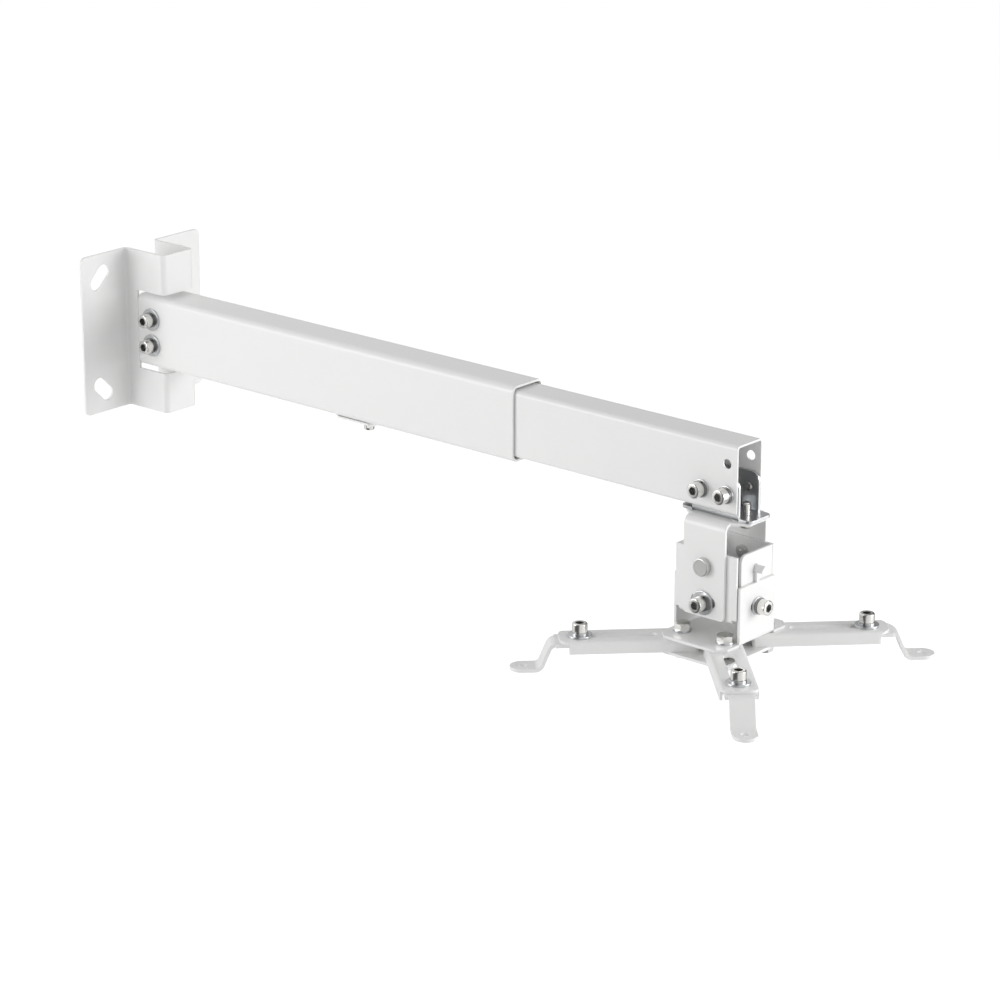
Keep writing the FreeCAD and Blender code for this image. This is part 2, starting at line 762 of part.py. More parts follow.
def leg_bolts():
    screws = []
    reach = washer_sheet + base_sheet + leg_height + base_sheet + nut_height + screw_tail
    for place in leg_pivots():
        screws.append(seat(hex_screw(reach), place + V(0, 0, base_floor + washer_sheet), V(0, 0, 1)))
    return Part.makeCompound(screws)


def leg_bolt_washers():
    return Part.makeCompound([seat(washer(small_washer_radius), place + V(0, 0, base_floor), V(0, 0, 1))
                              for place in leg_pivots()])


def leg_bolt_nuts():
    under = leg_bottom - base_sheet
    return Part.makeCompound([seat(nut(hex_head_flats, nut_height, m6_radius), place + V(0, 0, under), V(0, 0, -1))
                              for place in leg_pivots()])


# Legs and feet, drawn along +X from the pivot and then turned to their place
def leg():
    side = (leg_width - leg_sheet) / 2
    top = leg_top - leg_sheet / 2
    inner = leg_width / 2
    length = leg_length + leg_end_behind
    solid = fold_along_x(folded([(-side, leg_bottom), (-side, top), (side, top), (side, leg_bottom)],
                                leg_sheet, leg_bend, length))
    solid.translate(V(length / 2 - leg_end_behind, 0, 0))
    outline = box(-leg_end_behind, leg_length, -inner, inner, leg_bottom, leg_top)
    for x, corner in ((-leg_end_behind, leg_end_corner), (leg_length, leg_tip_corner)):
        ends = [V(x, y, 0) for y in (-inner, inner)]
        outline = outline.makeFillet(corner, edges_along(outline, V(0, 0, 1), ends))
    solid = solid.common(outline)
    under = leg_top - leg_sheet
    wall_end = leg_length - leg_tip_overhang
    solid = solid.cut(box(wall_end, leg_length, -inner, inner, leg_bottom, under))
    solid = solid.cut(slot(V(leg_slot_start, 0, 0), V(leg_slot_end, 0, 0), leg_slot_width, leg_bottom, leg_top + 1))
    return solid.cut(rod(m6_radius + leg_pivot_gap, V(0, 0, leg_bottom), V(0, 0, leg_top + 1)))


def foot():
    high = foot_top - foot_sheet / 2
    low = high - foot_drop
    tip = foot_hole_from_screw + foot_strip_width / 2
    points = [(-foot_head_behind, high), (foot_upper_corner, high), (foot_lower_corner, low), (tip, low)]
    solid = fold_along_y(folded(points, foot_sheet, foot_bend, foot_width))
    guides = [V(0, y, foot_top) for y in (-foot_width / 2, foot_width / 2)]
    solid = solid.makeFillet(leg_bend, edges_along(solid, V(1, 0, 0), guides)[:2])
    half = foot_strip_width / 2
    for side in (-1, 1):
        edge = box(foot_shoulder, tip, half, foot_width, low - foot_sheet, high + foot_sheet)
        solid = solid.cut(edge if side > 0 else edge.mirror(V(0, 0, 0), V(0, 1, 0)))
    round_tip = box(-foot_head_behind, foot_hole_from_screw, -foot_width, foot_width, low - foot_sheet, foot_top)
    end = rod(half, V(foot_hole_from_screw, 0, low - foot_sheet), V(foot_hole_from_screw, 0, foot_top))
    solid = solid.common(round_tip.fuse(end))
    solid = solid.cut(rod(m6_radius, V(0, 0, high - foot_sheet), V(0, 0, foot_top + 1)))
    hole = V(foot_hole_from_screw, 0, low - foot_sheet)
    solid = solid.cut(rod(foot_hole_radius, hole, hole + V(0, 0, 2 * foot_sheet)))
    solid.translate(V(foot_screw_rest, 0, 0))
    return solid


def foot_joint():
    return screwed_joint(V(foot_screw_rest, 0, leg_top), V(0, 0, 1), leg_sheet + foot_sheet, wide_washer_radius)


def turned(solid, pivot, angle):
    """A leg's piece, turned about the pivot's axis and carried there."""
    piece = solid.copy()
    piece.rotate(V(0, 0, 0), V(0, 0, 1), angle)
    piece.translate(pivot)
    return piece


def leg_pieces():
    parts = {}
    for number, (pivot, angle) in enumerate(zip(leg_pivots(), leg_angles), start=1):
        joint = foot_joint()
        parts["leg_%d" % number] = turned(leg(), pivot, angle)
        parts["foot_%d" % number] = turned(foot(), pivot, angle)
        parts["foot_screw_%d" % number] = turned(joint["screw"], pivot, angle)
        washers = Part.makeCompound([joint["washer"], joint["spring"]])
        parts["foot_washers_%d" % number] = turned(washers, pivot, angle)
        parts["foot_nut_%d" % number] = turned(joint["nut"], pivot, angle)
    return parts


def joint_pieces(name, sets):
    """One node for each kind of fastener in a set of like joints."""
    return {
        name + "_screws": gather(sets, "screw"),
        name + "_washers": gather(sets, "washer"),
        name + "_spring_washers": gather(sets, "spring"),
        name + "_nuts": gather(sets, "nut"),
    }


def all_pieces():
    parts = {
        "wall_bracket": wall_bracket(),
        "outer_tube": outer_tube(),
        "inner_tube": inner_tube(),
        "extension_lock_plate": lock_plate(),
        "extension_lock_rivet": lock_rivet(),
        "extension_lock_screw": lock_screw(),
        "tube_yoke": tube_yoke(),
        "swivel_bolt": swivel_bolt(),
        "swivel_nut": swivel_nut(),
        "pan_bracket": pan_bracket(),
        "pitch_pivots": pitch_pivots(),
        "tilt_box": tilt_box(),
        "base_bracket": base_bracket(),
        "clamp_plate": clamp_plate(),
        "leg_bolts": leg_bolts(),
        "leg_bolt_washers": leg_bolt_washers(),
        "leg_bolt_nuts": leg_bolt_nuts(),
    }
    parts.update(joint_pieces("wall", wall_joints()))
    yoke = joint_pieces("yoke", yoke_joints())
    yoke.pop("yoke_nuts")
    parts.update(yoke)
    parts.update(joint_pieces("pitch_lock", pitch_joints()))
    parts.update(joint_pieces("roll_lock", roll_joints()))
    parts["swivel_lock_screw"], parts["swivel_lock_washer"] = swivel_lock()
    parts.update(leg_pieces())
    return parts


os.makedirs("parts", exist_ok=True)
for name, shape in all_pieces().items():
    shape.exportStep("parts/%s.step" % name)
    print("%-26s solids %d  volume %.0f  valid %s" % (name, len(shape.Solids), shape.Volume, shape.isValid()))
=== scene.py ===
import math
import bmesh
import bpy
from mathutils import Matrix, Vector
from mathutils.geometry import intersect_point_line


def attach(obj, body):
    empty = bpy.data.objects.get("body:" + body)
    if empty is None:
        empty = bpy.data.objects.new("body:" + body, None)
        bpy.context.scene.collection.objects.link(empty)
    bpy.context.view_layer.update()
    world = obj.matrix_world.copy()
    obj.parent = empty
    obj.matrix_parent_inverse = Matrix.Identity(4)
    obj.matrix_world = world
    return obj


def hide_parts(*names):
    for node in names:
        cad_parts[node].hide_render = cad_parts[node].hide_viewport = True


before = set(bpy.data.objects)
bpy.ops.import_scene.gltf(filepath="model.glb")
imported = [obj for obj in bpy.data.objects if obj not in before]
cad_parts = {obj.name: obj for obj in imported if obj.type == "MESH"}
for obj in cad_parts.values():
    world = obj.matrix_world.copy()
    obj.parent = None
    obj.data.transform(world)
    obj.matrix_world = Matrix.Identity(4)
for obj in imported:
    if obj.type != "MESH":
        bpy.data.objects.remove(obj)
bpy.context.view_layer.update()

# Camera: a long lens to the front right of the arm and above it,
# as a catalogue picture of a wall arm is taken.
VIEW_AZIMUTH = math.radians(41.0)
VIEW_ELEVATION = math.radians(18.46)
SENSOR_WIDTH = 36
LENS = 134.68
FAR_CLIP = 50
DISTANCE = 2.4971
ARM_MIDDLE = 0.3
AIM_RIGHT = 0.03087
AIM_DOWN = 0.06585
right = Vector((math.cos(VIEW_AZIMUTH), math.sin(VIEW_AZIMUTH), 0))
back = Vector((math.sin(VIEW_AZIMUTH) * math.cos(VIEW_ELEVATION),
               -math.cos(VIEW_AZIMUTH) * math.cos(VIEW_ELEVATION), math.sin(VIEW_ELEVATION)))
up = back.cross(right)
aim = Vector((ARM_MIDDLE, 0, 0)) + right * AIM_RIGHT - up * AIM_DOWN
camera = bpy.data.objects.new("camera", bpy.data.cameras.new("camera"))
camera.data.sensor_width = SENSOR_WIDTH
camera.data.lens = LENS
camera.data.clip_end = FAR_CLIP
camera.location = aim + back * DISTANCE
camera.rotation_mode = "QUATERNION"
camera.rotation_quaternion = Matrix((right, up, back)).transposed().to_quaternion()
bpy.context.scene.collection.objects.link(camera)
bpy.context.scene.camera = camera
bpy.context.scene.view_settings.view_transform = "Standard"

# Studio: white surroundings, a white floor well below the arm, one broad
# soft lamp at the right and a weaker one at the camera's side.
world = bpy.data.worlds.new("studio")
bpy.context.scene.world = world
world.use_nodes = True
SURROUND_LEVEL = 0.55
FLAG_SHADE = 0.12
FLAG_EDGE = -0.8
FLAG_TURN = math.radians(12)


def math_node(tree, operation, first, second):
    """One step of arithmetic on sockets or numbers."""
    step = tree.nodes.new("ShaderNodeMath")
    step.operation = operation
    for socket, value in zip(step.inputs, (first, second)):
        if isinstance(value, bpy.types.NodeSocket):
            tree.links.new(value, socket)
        else:
            socket.default_value = value
    return step.outputs[0]


def flags(tree, place):
    """Dark flags before and behind the arm, white between them, by the direction from the place."""
    split = tree.nodes.new("ShaderNodeSeparateXYZ")
    tree.links.new(place, split.inputs[0])
    bearing = math_node(tree, "ARCTAN2", split.outputs["Y"], split.outputs["X"])
    turn = math_node(tree, "SUBTRACT", math_node(tree, "MULTIPLY", bearing, 2.0), FLAG_TURN)
    soft = tree.nodes.new("ShaderNodeMapRange")
    soft.interpolation_type = "SMOOTHSTEP"
    soft.inputs["From Min"].default_value = FLAG_EDGE
    soft.inputs["From Max"].default_value = 0.0
    soft.inputs["To Min"].default_value = FLAG_SHADE
    soft.inputs["To Max"].default_value = 1.0
    tree.links.new(math_node(tree, "COSINE", turn, 0.0), soft.inputs["Value"])
    return soft.outputs["Result"]


def by_ray(tree, other, seen, glossy):
    """One value for camera and transmission rays, one for glossy rays and one for the rest."""
    path = tree.nodes.new("ShaderNodeLightPath")
    direct = math_node(tree, "MAXIMUM", path.outputs["Is Camera Ray"], path.outputs["Is Transmission Ray"])
    mirrored = path.outputs["Is Glossy Ray"]
    rest = math_node(tree, "SUBTRACT", math_node(tree, "SUBTRACT", 1.0, direct), mirrored)
    parts = [math_node(tree, "MULTIPLY", mirrored, glossy), math_node(tree, "MULTIPLY", direct, seen)]
    return math_node(tree, "ADD", math_node(tree, "ADD", *parts), math_node(tree, "MULTIPLY", rest, other))


surround = world.node_tree.nodes["Background"]
surround.inputs["Color"].default_value = (1, 1, 1, 1)
heading = world.node_tree.nodes.new("ShaderNodeTexCoord")
world_flags = flags(world.node_tree, heading.outputs["Generated"])
world_level = by_ray(world.node_tree, SURROUND_LEVEL, 1.0, world_flags)
world.node_tree.links.new(world_level, surround.inputs["Strength"])


def lamp(name, place, target, size, power):
    """A square soft lamp that looks at the target."""
    data = bpy.data.lights.new(name, "AREA")
    data.shape = "SQUARE"
    data.size = size
    data.energy = power
    lit = bpy.data.objects.new(name, data)
    lit.location = place
    lit.rotation_mode = "QUATERNION"
    lit.rotation_quaternion = (Vector(place) - Vector(target)).to_track_quat("Z", "Y")
    bpy.context.scene.collection.objects.link(lit)


lamp("key", place=(2.16, 1.01, 0.34), target=(0.4, 0, -0.05), size=1.2, power=25)
lamp("fill", place=(-0.85, -1.93, 0.41), target=(0.3, 0, -0.05), size=1.4, power=21)

FLOOR_LEVEL = -0.42
FLOOR_SIZE = 14
FLOOR_WHITE = 0.93
FLOOR_GLOW = 0.47
bm = bmesh.new()
bmesh.ops.create_grid(bm, x_segments=1, y_segments=1, size=FLOOR_SIZE)
bmesh.ops.translate(bm, vec=(0, 0, FLOOR_LEVEL), verts=bm.verts)
floor = bpy.data.objects.new("floor", bpy.data.meshes.new("floor"))
bm.to_mesh(floor.data)
bm.free()
bpy.context.scene.collection.objects.link(floor)
paper = bpy.data.materials.new("studio_paper")
paper.use_nodes = True
paper_shader = paper.node_tree.nodes["Principled BSDF"]
paper_shader.inputs["Roughness"].default_value = 0.9
paper_shader.inputs["Specular IOR Level"].default_value = 0.0
paper_shader.inputs["Emission Color"].default_value = (1, 1, 1, 1)
paper_glow = by_ray(paper.node_tree, 0.0, FLOOR_GLOW, 0.0)
paper.node_tree.links.new(paper_glow, paper_shader.inputs["Emission Strength"])
spot = paper.node_tree.nodes.new("ShaderNodeTexCoord")
from_arm = paper.node_tree.nodes.new("ShaderNodeVectorMath")
from_arm.operation = "SUBTRACT"
from_arm.inputs[1].default_value = (ARM_MIDDLE, 0, 0)
paper.node_tree.links.new(spot.outputs["Object"], from_arm.inputs[0])
floor_flags = flags(paper.node_tree, from_arm.outputs["Vector"])
paper_white = by_ray(paper.node_tree, FLOOR_WHITE, FLOOR_WHITE, floor_flags)
paper.node_tree.links.new(paper_white, paper_shader.inputs["Base Color"])
floor.data.materials.append(paper)

# Wall bracket: one blank of 2 mm steel sheet, laser cut, folded to a hat and
# powder coated white. The coat rounds every cut edge a little.
MM = 0.001
COAT_COLOUR = (0.855, 0.857, 0.850, 1)
COAT_SHADE = (0.848, 0.850, 0.844, 1)
NOISE_LOW = 0.15
NOISE_HIGH = 0.85
TINT_SCALE = 22
GLOSS_SCALE = 60
RELIEF_STRENGTH = 0.35
SMOOTH_BELOW = math.radians(38)
SAME_POINT = 2e-6
ROUNDING_TRIALS = 4
FLAT_BELOW = math.radians(0.6)
CUT_ABOVE = math.radians(32)
FOLD_ABOVE = 3.0
EDGE_ROUND = 0.28


def speckle(tree, scale, detail, low, high):
    """A noise in object space, brought between two values."""
    place = tree.nodes.new("ShaderNodeTexCoord")
    noise = tree.nodes.new("ShaderNodeTexNoise")
    noise.inputs["Scale"].default_value = scale
    noise.inputs["Detail"].default_value = detail
    tree.links.new(place.outputs["Object"], noise.inputs["Vector"])
    spread = tree.nodes.new("ShaderNodeMapRange")
    spread.interpolation_type = "SMOOTHSTEP"
    spread.inputs["From Min"].default_value = NOISE_LOW
    spread.inputs["From Max"].default_value = NOISE_HIGH
    spread.inputs["To Min"].default_value = low
    spread.inputs["To Max"].default_value = high
    tree.links.new(noise.outputs["Fac"], spread.inputs["Value"])
    return spread.outputs["Result"]


def finish_material(name, colours, roughness, metallic, grain, depth):
    """A surface whose colour, gloss and fine relief vary; grain is the relief's scale per metre."""
    made = bpy.data.materials.new(name)
    made.use_nodes = True
    tree = made.node_tree
    shader = tree.nodes["Principled BSDF"]
    shader.inputs["Metallic"].default_value = metallic
    tint = tree.nodes.new("ShaderNodeMix")
    tint.data_type = "RGBA"
    tint.inputs[6].default_value = colours[0]
    tint.inputs[7].default_value = colours[1]
    tree.links.new(speckle(tree, TINT_SCALE, 3, 0, 1), tint.inputs[0])
    tree.links.new(tint.outputs[2], shader.inputs["Base Color"])
    tree.links.new(speckle(tree, GLOSS_SCALE, 4, *roughness), shader.inputs["Roughness"])
    relief = tree.nodes.new("ShaderNodeBump")
    relief.inputs["Strength"].default_value = RELIEF_STRENGTH
    relief.inputs["Distance"].default_value = depth
    tree.links.new(speckle(tree, grain, 2, 0, 1), relief.inputs["Height"])
    tree.links.new(relief.outputs["Normal"], shader.inputs["Normal"])
    return made


white_coat = finish_material("white_powder_coat", (COAT_COLOUR, COAT_SHADE), roughness=(0.28, 0.32),
                             metallic=0.0, grain=750, depth=0.00003)


def add_piece(bm, name, body, slot, finish, *nodes):
    """Makes the mesh an object that rides on its body and stands for its nodes."""
    for face in bm.faces:
        face.smooth = True
    for edge in bm.edges:
        edge.smooth = len(edge.link_faces) == 2 and edge.calc_face_angle() < SMOOTH_BELOW
    mesh = bpy.data.meshes.new(name)
    bm.to_mesh(mesh)
    bm.free()
    mesh.materials.append(finish)
    made = bpy.data.objects.new(name, mesh)
    bpy.context.scene.collection.objects.link(made)
    flat = made.modifiers.new("flat_faces", "WEIGHTED_NORMAL")
    flat.keep_sharp = True
    flat.weight = 60
    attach(made, body)
    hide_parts(*nodes)
    return made


def cut_edges(bm, left_out):
    """The sheet's sharp edges, apart from those left out."""
    return [e for e in bm.edges if len(e.link_faces) == 2 and e.calc_face_angle() > CUT_ABOVE
            and e.index not in left_out]


def rounded(bm, left_out, edge_round):
    """A copy of the sheet with its sharp edges rounded, and the points where a rounding folds over."""
    trial = bm.copy()
    bmesh.ops.bevel(trial, geom=cut_edges(trial, left_out), offset=edge_round * MM, offset_type="OFFSET",
                    segments=2, profile=0.5, affect="EDGES", clamp_overlap=False, material=-1)
    flat = trial.copy()
    bmesh.ops.triangulate(flat, faces=flat.faces)
    folds = []
    for e in flat.edges:
        if len(e.link_faces) == 2 and e.calc_length() > 0.5 * MM and e.calc_face_angle() > FOLD_ABOVE:
            if min(f.calc_area() for f in e.link_faces) > 0.004 * MM * e.calc_length():
                folds += [v.co.copy() for v in e.verts]
    flat.free()
    return trial, folds


def close_to(edge, points, reach):
    """Whether any of the points lies within reach of the edge."""
    start, end = (v.co for v in edge.verts)
    for point in points:
        along = min(max(intersect_point_line(point, start, end)[1], 0), 1)
        if (start.lerp(end, along) - point).length < reach:
            return True
    return False


def sheet_piece(node, body, edge_round=EDGE_ROUND, slot="white_coat", finish=white_coat):
    """The node's own sheet with its cut edges rounded, but not where two roundings would cross."""
    bm = bmesh.new()
    bm.from_mesh(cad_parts[node].data)
    bmesh.ops.remove_doubles(bm, verts=bm.verts, dist=SAME_POINT)
    bmesh.ops.dissolve_limit(bm, angle_limit=FLAT_BELOW, verts=bm.verts, edges=bm.edges)
    bmesh.ops.connect_verts_concave(bm, faces=bm.faces)
    bm.edges.index_update()
    short_edge, near, nearest = 2.2 * MM, 0.8 * MM, 0.5 * MM
    crowded = set()
    sheet, folds = rounded(bm, crowded, edge_round)
    for trial in range(ROUNDING_TRIALS):
        if not folds:
            break
        edges = cut_edges(bm, crowded)
        short = [e for e in edges if e.calc_length() < short_edge and close_to(e, folds, near)]
        crowded |= {e.index for e in short or edges if close_to(e, folds, near if short else nearest)}
        sheet.free()
        sheet, folds = rounded(bm, crowded, edge_round)
    bm.free()
    return add_piece(sheet, node + "_sheet", body, slot, finish, node)


sheet_piece("wall_bracket", "wall_side")

# Wall screws: four plated M6 socket screws, two a side, that clamp the tube to
# the bracket's tongues; each has a spring washer, a wide washer and a nut.
TUBE_SIDE = 15.0
WALL_SCREW_X = 26.5
WALL_SCREW_Z = 9.5
HEAD_RADIUS = 5.0
HEAD_HEIGHT = 6.0
SOCKET_FLATS = 5.0
THREAD_RADIUS = 3.0
THREAD_ROOT = 2.45
THREAD_PITCH = 1.0
WASHER = 1.5
WIDE_WASHER = 8.0
SMALL_WASHER = 6.0
NUT_FLATS = 10.0
NUT_HEIGHT = 5.0
PAST_NUT = 1.0
THREAD_LENGTH = 8.0
LONG_THREAD = 9.0
THREAD_STEPS = 20
TURN_SEGMENTS = 48
POLE_RADIUS = 1e-4
SPLIT_ANGLE = 70
SPLIT_STEP = 95
CORNER_SLOPE = math.tan(math.radians(30))
nickel = finish_material("bright_nickel", ((0.80, 0.79, 0.77, 1), (0.72, 0.71, 0.69, 1)),
                         roughness=(0.12, 0.22), metallic=1.0, grain=1500, depth=0.00002)
zinc = finish_material("zinc_plate", ((0.68, 0.69, 0.70, 1), (0.56, 0.57, 0.58, 1)),
                       roughness=(0.28, 0.36), metallic=1.0, grain=1100, depth=0.00003)
# Spring washers in dark steel: partly the washers' own dark finish, partly painted shade of the crevice they
# sit in under the heads.
spring_steel_and_crevice_shade = finish_material("spring_steel_and_crevice_shade", ((0.36, 0.36, 0.35, 1), (0.22, 0.22, 0.22, 1)),
                               roughness=(0.30, 0.45), metallic=1.0, grain=1100, depth=0.00003)
# Darker steel for the faces inside the hexagon sockets: partly bare steel under thin plating, partly painted
# shade in the recess.
socket_shade_and_bare_steel = finish_material("socket_shade_and_bare_steel", ((0.46, 0.46, 0.45, 1), (0.28, 0.28, 0.28, 1)),
                               roughness=(0.28, 0.36), metallic=1.0, grain=1400, depth=0.00003)


def seat(point, out):
    """Where a fastener drawn along +Z goes: point in millimetres, out the way its head looks."""
    turn = Vector((0, 0, 1)).rotation_difference(Vector(out)).to_matrix().to_4x4()
    return Matrix.Translation(Vector(point) * MM) @ turn @ Matrix.Scale(MM, 4)


def hexagon(flats):
    """The radius of a hexagon at any angle."""
    def radius(angle):
        return flats / 2 / math.cos(angle % math.radians(60) - math.radians(30))
    return radius


def turned(bm, place, rings, socket=None):
    """A skin over rings given as (radius, height) in millimetres; either may follow the angle.
    Faces within the socket's radius and above its floor take the piece's second finish: darker steel that is
    partly bare steel under thin plating and partly painted shade in the socket."""
    circle = bmesh.ops.create_circle(bm, segments=TURN_SEGMENTS, radius=1.0)
    ring = circle["verts"]
    edges = list(dict.fromkeys(e for v in ring for e in v.link_edges))
    skin = []
    for number, (radius, height) in enumerate(rings):
        if number:
            more = bmesh.ops.extrude_edge_only(bm, edges=edges)["geom"]
            ring = [g for g in more if isinstance(g, bmesh.types.BMVert)]
            fresh = set(ring)
            edges = [g for g in more if isinstance(g, bmesh.types.BMEdge) and set(g.verts) <= fresh]
        for v in ring:
            angle = math.atan2(v.co.y, v.co.x)
            r = max(radius(angle) if callable(radius) else radius, POLE_RADIUS)
            z = height(angle) if callable(height) else height
            v.co = (r * math.cos(angle), r * math.sin(angle), z)
        skin += ring
    bmesh.ops.remove_doubles(bm, verts=skin, dist=10 * POLE_RADIUS)
    skin = [v for v in skin if v.is_valid]
    if socket:
        reach, level = socket
        for face in {f for v in skin for f in v.link_faces}:
            centre = face.calc_center_median()
            if math.hypot(centre.x, centre.y) < reach and centre.z > level:
                face.material_index = 1
    bmesh.ops.transform(bm, matrix=place, verts=skin)


def joined_to(points):
    """The points and every other one that edges join to them."""
    found = set(points)
    queue = list(points)
    while queue:
        for edge in queue.pop().link_edges:
            fresh = set(edge.verts) - found
            found |= fresh
            queue += fresh
    return list(found)


def thread(bm, place, radius, root, pitch, low, high):
    """A V thread's ridge, wound between two heights."""
    turns = (high - low) / pitch - 1
    corners = [(root - 0.1, low + 0.06), (radius, low + 0.5 * pitch), (root - 0.1, low + pitch - 0.06)]
    section = [bm.verts.new((r, 0, z)) for r, z in corners]
    face = bm.faces.new(section)
    steps = int(turns * THREAD_STEPS)
    bmesh.ops.spin(bm, geom=[*section, *face.edges, face], cent=(0, 0, 0), axis=(0, 0, 1),
                   dvec=(0, 0, pitch * turns / steps), angle=math.tau * turns, steps=steps)
    bmesh.ops.transform(bm, matrix=place, verts=joined_to(section))


def shank(radius, root, reach, bare):
    """The rings of a screw's tail up to its head: a pointed end, the thread's core and a plain length."""
    return [(0, -reach), (root - 0.45, -reach), (root, -reach + 0.4), (root, -bare), (radius - 0.03, -bare)]


def socket_screw(bm, place, reach, thread_length, head=HEAD_RADIUS, height=HEAD_HEIGHT, flats=SOCKET_FLATS,
                 radius=THREAD_RADIUS, root=THREAD_ROOT, pitch=THREAD_PITCH):
    """Cap screw with a sunk hexagon; the underside of its head is at the seat."""
    bare = reach - thread_length
    rings = shank(radius, root, reach, bare)
    rings += [(radius - 0.03, 0), (head - 0.25, 0), (head, 0.25), (head, height - 0.75)]
    rings += [(head - 0.12, height - 0.4), (head - 0.35, height - 0.15), (head - 0.75, height)]
    rings += [(hexagon(flats + 0.3), height)]
    rings += [(hexagon(flats), height - 0.12), (hexagon(flats), height / 2), (0, height / 2 - 0.6)]
    turned(bm, place, rings, socket=(flats * 0.56, height / 2 - 0.7))
    thread(bm, place, radius, root, pitch, -reach + 0.2, -bare)


def flat_washer(bm, place, radius):
    """Stamped washer, rounded where the punch went in."""
    bore = 3.25
    turned(bm, place, [(bore, 0.15), (bore, WASHER - 0.05), (bore + 0.1, WASHER), (radius - 0.4, WASHER),
                       (radius - 0.12, WASHER - 0.12), (radius, WASHER - 0.4), (radius, 0.1),
                       (radius - 0.1, 0), (bore + 0.15, 0), (bore, 0.15)])


def spring_washer(bm, place, start):
    """A split ring of square wire, pressed flat, whose ends stand a little apart."""
    inner, outer = 3.2, 5.4
    corners = [(inner, 0.02), (outer, 0.02), (outer, WASHER - 0.02), (inner, WASHER - 0.02)]
    turn = math.radians(start)
    section = [bm.verts.new((r * math.cos(turn), r * math.sin(turn), z)) for r, z in corners]
    face = bm.faces.new(section)
    bmesh.ops.spin(bm, geom=[*section, *face.edges, face], cent=(0, 0, 0), axis=(0, 0, 1), dvec=(0, 0, 0),
                   angle=math.radians(350), steps=44)
    bmesh.ops.transform(bm, matrix=place, verts=joined_to(section))


def hex_nut(bm, place, flats=NUT_FLATS, height=NUT_HEIGHT, bore=2.6):
    """Hexagon nut with its corners turned off at both ends."""
    side = hexagon(flats)
    land = flats / 2 - 0.1

    def fall(angle):
        return (side(angle) - land) * CORNER_SLOPE

    def rise(angle):
        return height - fall(angle)

    turned(bm, place, [(bore, 0.5), (bore + 0.5, 0), (land, 0), (side, fall), (side, rise), (land, height),
                       (bore + 0.5, height), (bore, height - 0.5), (bore, 0.5)])


def fasteners(name, body, finish, make, places, *nodes):
    """One piece of like fasteners, one at each place."""
    bm = bmesh.new()
    for number, place in enumerate(places):
        make(bm, place, number)
    bmesh.ops.recalc_face_normals(bm, faces=bm.faces)
    made = add_piece(bm, name, body, "plated_steel", finish, *nodes)
    # Pieces with socket faces take the darker socket steel as a second finish: painted shade in the recess,
    # partly bare steel.
    if any(face.material_index for face in made.data.polygons):
        made.data.materials.append(socket_shade_and_bare_steel)
    return made


def moved(places, distance):
    """The same places, further out along their own axes."""
    return [place @ Matrix.Translation((0, 0, distance)) for place in places]


def small_washer(bm, place, number):
    """The narrower flat washer."""
    flat_washer(bm, place, SMALL_WASHER)


def plain_nut(bm, place, number):
    """The M6 nut that most screws take."""
    hex_nut(bm, place)


def split_washer(bm, place, number):
    """A spring washer with its gap turned on from the last one's."""
    spring_washer(bm, place, SPLIT_ANGLE + SPLIT_STEP * number)


def screw_stack(name, body, places, washer, grip):
    """Flat washer, spring washer and screw at each place, as three pieces, on a grip of sheets over a nut."""
    reach = 2 * WASHER + grip + NUT_HEIGHT + PAST_NUT
    fasteners(name + "_flat_washers", body, zinc, lambda bm, p, n: flat_washer(bm, p, washer), places,
              name + "_washers")
    fasteners(name + "_split_washers", body, spring_steel_and_crevice_shade, split_washer, moved(places, WASHER),
              name + "_spring_washers")
    fasteners(name + "_socket_screws", body, nickel,
              lambda bm, p, n: socket_screw(bm, p, reach, THREAD_LENGTH), moved(places, 2 * WASHER),
              name + "_screws")


WALL_GRIP = 3.8
wall_spots = [(side, z) for side in (-1, 1) for z in (-WALL_SCREW_Z, WALL_SCREW_Z)]
wall_places = [seat((WALL_SCREW_X, side * TUBE_SIDE, z), (0, side, 0)) for side, z in wall_spots]
screw_stack("wall", "wall_side", wall_places, WIDE_WASHER, WALL_GRIP)
nut_places = [seat((WALL_SCREW_X, side * (TUBE_SIDE - WALL_GRIP), z), (0, -side, 0))
              for side, z in wall_spots]
fasteners("wall_hex_nuts", "wall_side", zinc, plain_nut, nut_places, "wall_nuts")

# Outer tube: welded rectangular steel tube, 52 x 30 mm, cut square at both ends
# and coated inside and out.
sheet_piece("outer_tube", "wall_side")

# Extension lock: a bent tongue of sheet riveted under the outer tube; its screw
# goes through the tube's floor and presses on the inner tube.
TUBE_UNDER = -26.0
LOCK_RIVET_X = 194.5
LOCK_SCREW_X = 222.5
LOCK_SHEET = 1.5
LOCK_GAP = 2.4
LOCK_COLLAR = 2.0
THIN_ROUND = 0.2
DOWN = (0, 0, -1)
RIVET_RINGS = ((0, -3.1), (1.98, -3.1), (1.98, 0), (3.5, 0), (3.4, 0.5), (2.9, 1.0), (1.9, 1.32), (0, 1.4))
SMALL_SCREW = {"head": 3.6, "height": 3.4, "flats": 3.6, "radius": 2.5, "root": 2.05, "pitch": 0.8}
rivet_place = seat((LOCK_RIVET_X, 0, TUBE_UNDER - LOCK_SHEET), DOWN)
lock_screw_place = seat((LOCK_SCREW_X, 0, TUBE_UNDER - LOCK_GAP - LOCK_SHEET - LOCK_COLLAR), DOWN)
sheet_piece("extension_lock_plate", "wall_side", THIN_ROUND)
fasteners("extension_lock_rivet_head", "wall_side", zinc, lambda bm, p, n: turned(bm, p, RIVET_RINGS),
          [rivet_place], "extension_lock_rivet")
fasteners("extension_lock_socket_screw", "wall_side", nickel,
          lambda bm, p, n: socket_screw(bm, p, reach=8.9, thread_length=8.6, **SMALL_SCREW),
          [lock_screw_place], "extension_lock_screw")

# Inner tube: the next size down, 46 x 26 mm, drilled at its end and with its
# floor cut away for the yoke.
sheet_piece("inner_tube", "arm")

